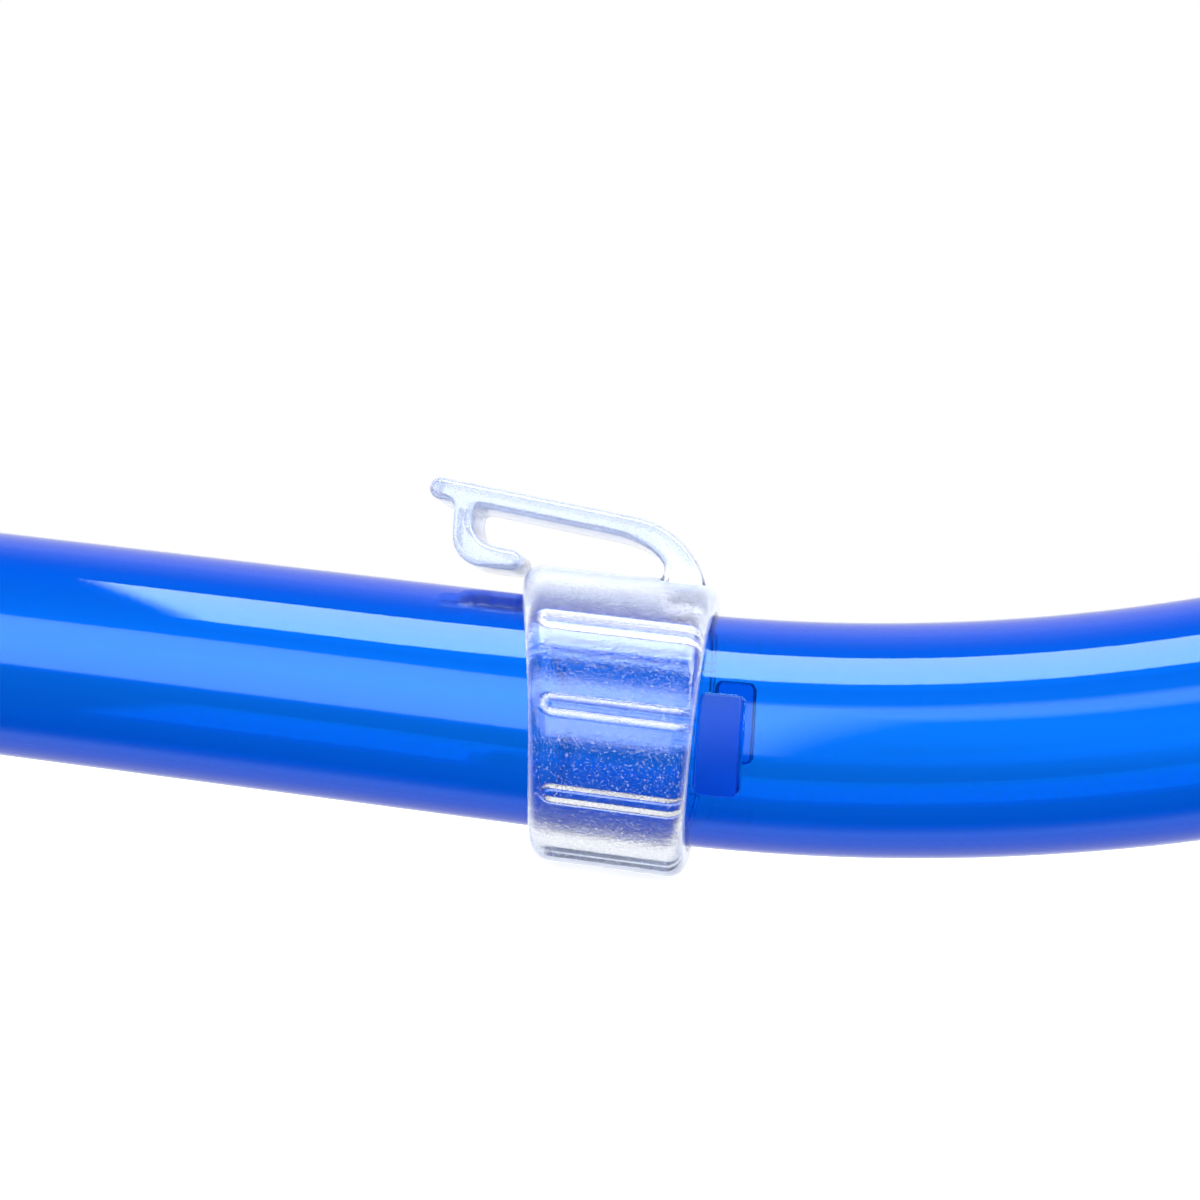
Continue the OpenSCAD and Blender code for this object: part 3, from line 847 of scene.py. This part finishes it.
def make_camera():
    forward, right, up = camera_axes()
    target = barrel_to_row() @ Vector(CAMERA_TARGET)
    data = bpy.data.cameras.new("camera")
    data.lens = CAMERA_LENS
    data.sensor_width = 36
    data.clip_start = 0.005
    data.clip_end = 20
    camera = bpy.data.objects.new("camera", data)
    bpy.context.scene.collection.objects.link(camera)
    turn = Matrix((right, up, -forward)).transposed().to_4x4()
    camera.matrix_world = Matrix.Translation(target - forward * CAMERA_DISTANCE) @ turn
    bpy.context.scene.camera = camera


def make_floor():
    """A pale floor that reflections and light through the object pass by."""
    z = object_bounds()[0].z - FLOOR_GAP
    corners = [(x * FLOOR_HALF, y * FLOOR_HALF, z) for x, y in ((-1, -1), (1, -1), (1, 1), (-1, 1))]
    floor = new_object("floor", corners, [(0, 1, 2, 3)])
    mat, tree, bsdf = node_material("pale_floor")
    bsdf.inputs["Base Color"].default_value = (0.9, 0.9, 0.9, 1)
    bsdf.inputs["Roughness"].default_value = 0.9
    bsdf.inputs["Emission Color"].default_value = (1, 1, 1, 1)
    bsdf.inputs["Emission Strength"].default_value = 0.75
    floor.data.materials.append(mat)
    floor.visible_glossy = False
    floor.visible_transmission = False


# ---------------------------------------------------------------- light

# Brightness round the object's length, by angle in degrees: 0 is towards the camera, 90 overhead and 180
# behind the object. Reflections see the room. Light that comes through the object sees what is behind it.
ROOM = [(-180, 1.2), (-165, 1.2), (-145, 0.75), (-120, 0.6), (-100, 0.75), (-90, 0.1), (-84, 0.0), (86, 0.0),
        (100, 0.1), (108, 0.35), (127, 0.9), (158, 1.0), (168, 1.2), (180, 1.2)]
THROUGH = [(-180, 1.55), (-178, 1.75), (-176.3, 1.45), (-174, 1.1), (-165, 0.9), (-130, 1.05), (-95, 0.7),
           (-75, 0.12), (0, 0.08), (75, 0.12), (95, 1.2), (120, 1.4), (160, 1.4), (176, 1.4), (180, 1.5)]
BRIGHTEST = 2.0                   # brightness at the white end of the ramps
SOFTBOX = 10
SOFTBOX_THROUGH = 6               # the softbox, seen through the object
SOFTBOX_BAND = (53.5, 84, 1)      # lowest and highest angle and soft edge, in degrees
SOFTBOX_END = -0.243              # side at which it ends on the left, and the end's soft edge
SOFTBOX_END_SOFT = 0.02
SOFTBOX_SLANT = 0.0015            # how far the end shifts with each degree
CARD = 3.4
CARD_BAND = (-15, 32, 2)
CARD_SPAN = (-9, -0.06, 0.05)     # from far on the left to its right edge
STRIP = 2.6
STRIP_BAND = (18, 26, 5)
TWIST_SIDE = -0.236               # where the lamps start to turn, and over what width
TWIST_WIDTH = 0.2
TWIST = 6.5                       # degrees


def ring_of_light(tree, share, stops):
    """Brightness by the angle round the object's length."""
    ramp = tree.nodes.new("ShaderNodeValToRGB")
    elements = ramp.color_ramp.elements
    elements.remove(elements[0])
    for i, (degrees, value) in enumerate(stops):
        position = degrees / 360 + 0.5
        element = elements.new(position) if i else elements[0]
        element.position = position
        element.color = (*[value / BRIGHTEST] * 3, 1)
    link(tree, share, ramp.inputs["Fac"])
    return times(tree, ramp.outputs["Color"], BRIGHTEST)


def lamp_light(tree, angle, side, through_plastic):
    """A softbox overhead with its left end cut at a slant, and a card in front whose upper strip runs on."""
    twist = math_node(tree, "DIVIDE", math_node(tree, "SUBTRACT", side, TWIST_SIDE), TWIST_WIDTH, True)
    turned = math_node(tree, "SUBTRACT", angle, times(tree, twist, TWIST))
    slanted = plus(tree, side, times(tree, angle, SOFTBOX_SLANT))
    length = above(tree, slanted, SOFTBOX_END, SOFTBOX_END_SOFT)
    softbox = times(tree, window(tree, turned, *SOFTBOX_BAND), length)
    overhead = times(tree, softbox, mix_values(tree, through_plastic, SOFTBOX, SOFTBOX_THROUGH))
    card = times(tree, window(tree, angle, *CARD_BAND), window(tree, side, *CARD_SPAN))
    strip = window(tree, turned, *STRIP_BAND)
    front = math_node(tree, "MAXIMUM", times(tree, card, CARD), times(tree, strip, STRIP))
    return plus(tree, overhead, front)


def make_world():
    """A studio that is white to the camera and patterned for reflections and for light through the object."""
    world = bpy.data.worlds.new("studio")
    bpy.context.scene.world = world
    world.use_nodes = True
    tree = world.node_tree
    tree.nodes.clear()
    coord = tree.nodes.new("ShaderNodeTexCoord")
    split = tree.nodes.new("ShaderNodeSeparateXYZ")
    link(tree, coord.outputs["Generated"], split.inputs[0])
    side, back, height = split.outputs
    path = tree.nodes.new("ShaderNodeLightPath").outputs
    radians = math_node(tree, "ARCTAN2", height, times(tree, back, -1))
    angle = times(tree, radians, 180 / math.pi)
    share = plus(tree, math_node(tree, "DIVIDE", angle, 360), 0.5)
    room = ring_of_light(tree, share, ROOM)
    through = ring_of_light(tree, share, THROUGH)
    lamps = lamp_light(tree, angle, side, path["Is Transmission Ray"])
    pattern = plus(tree, lamps, mix_values(tree, path["Is Transmission Ray"], room, through))
    # matt surfaces are lit evenly, and a little more from above
    even = plus(tree, times(tree, height, 0.45), 0.75)
    plain = mix_values(tree, path["Is Camera Ray"], even, 1.0)
    unpatterned = math_node(tree, "MAXIMUM", path["Is Camera Ray"], path["Is Diffuse Ray"])
    light = tree.nodes.new("ShaderNodeBackground")
    light.inputs["Color"].default_value = (1, 1, 1, 1)
    link(tree, mix_values(tree, unpatterned, pattern, plain), light.inputs["Strength"])
    out = tree.nodes.new("ShaderNodeOutputWorld")
    link(tree, light.outputs[0], out.inputs[0])


def set_rendering():
    """Plain colours without noise, and enough bounces for light to cross the tube inside the clip."""
    scene = bpy.context.scene
    scene.view_settings.view_transform = "Standard"
    scene.cycles.use_denoising = True
    scene.cycles.max_bounces = 24
    scene.cycles.transmission_bounces = 20
    scene.cycles.glossy_bounces = 8
    scene.cycles.caustics_refractive = True


make_object()
make_floor()
make_camera()
make_world()
set_rendering()
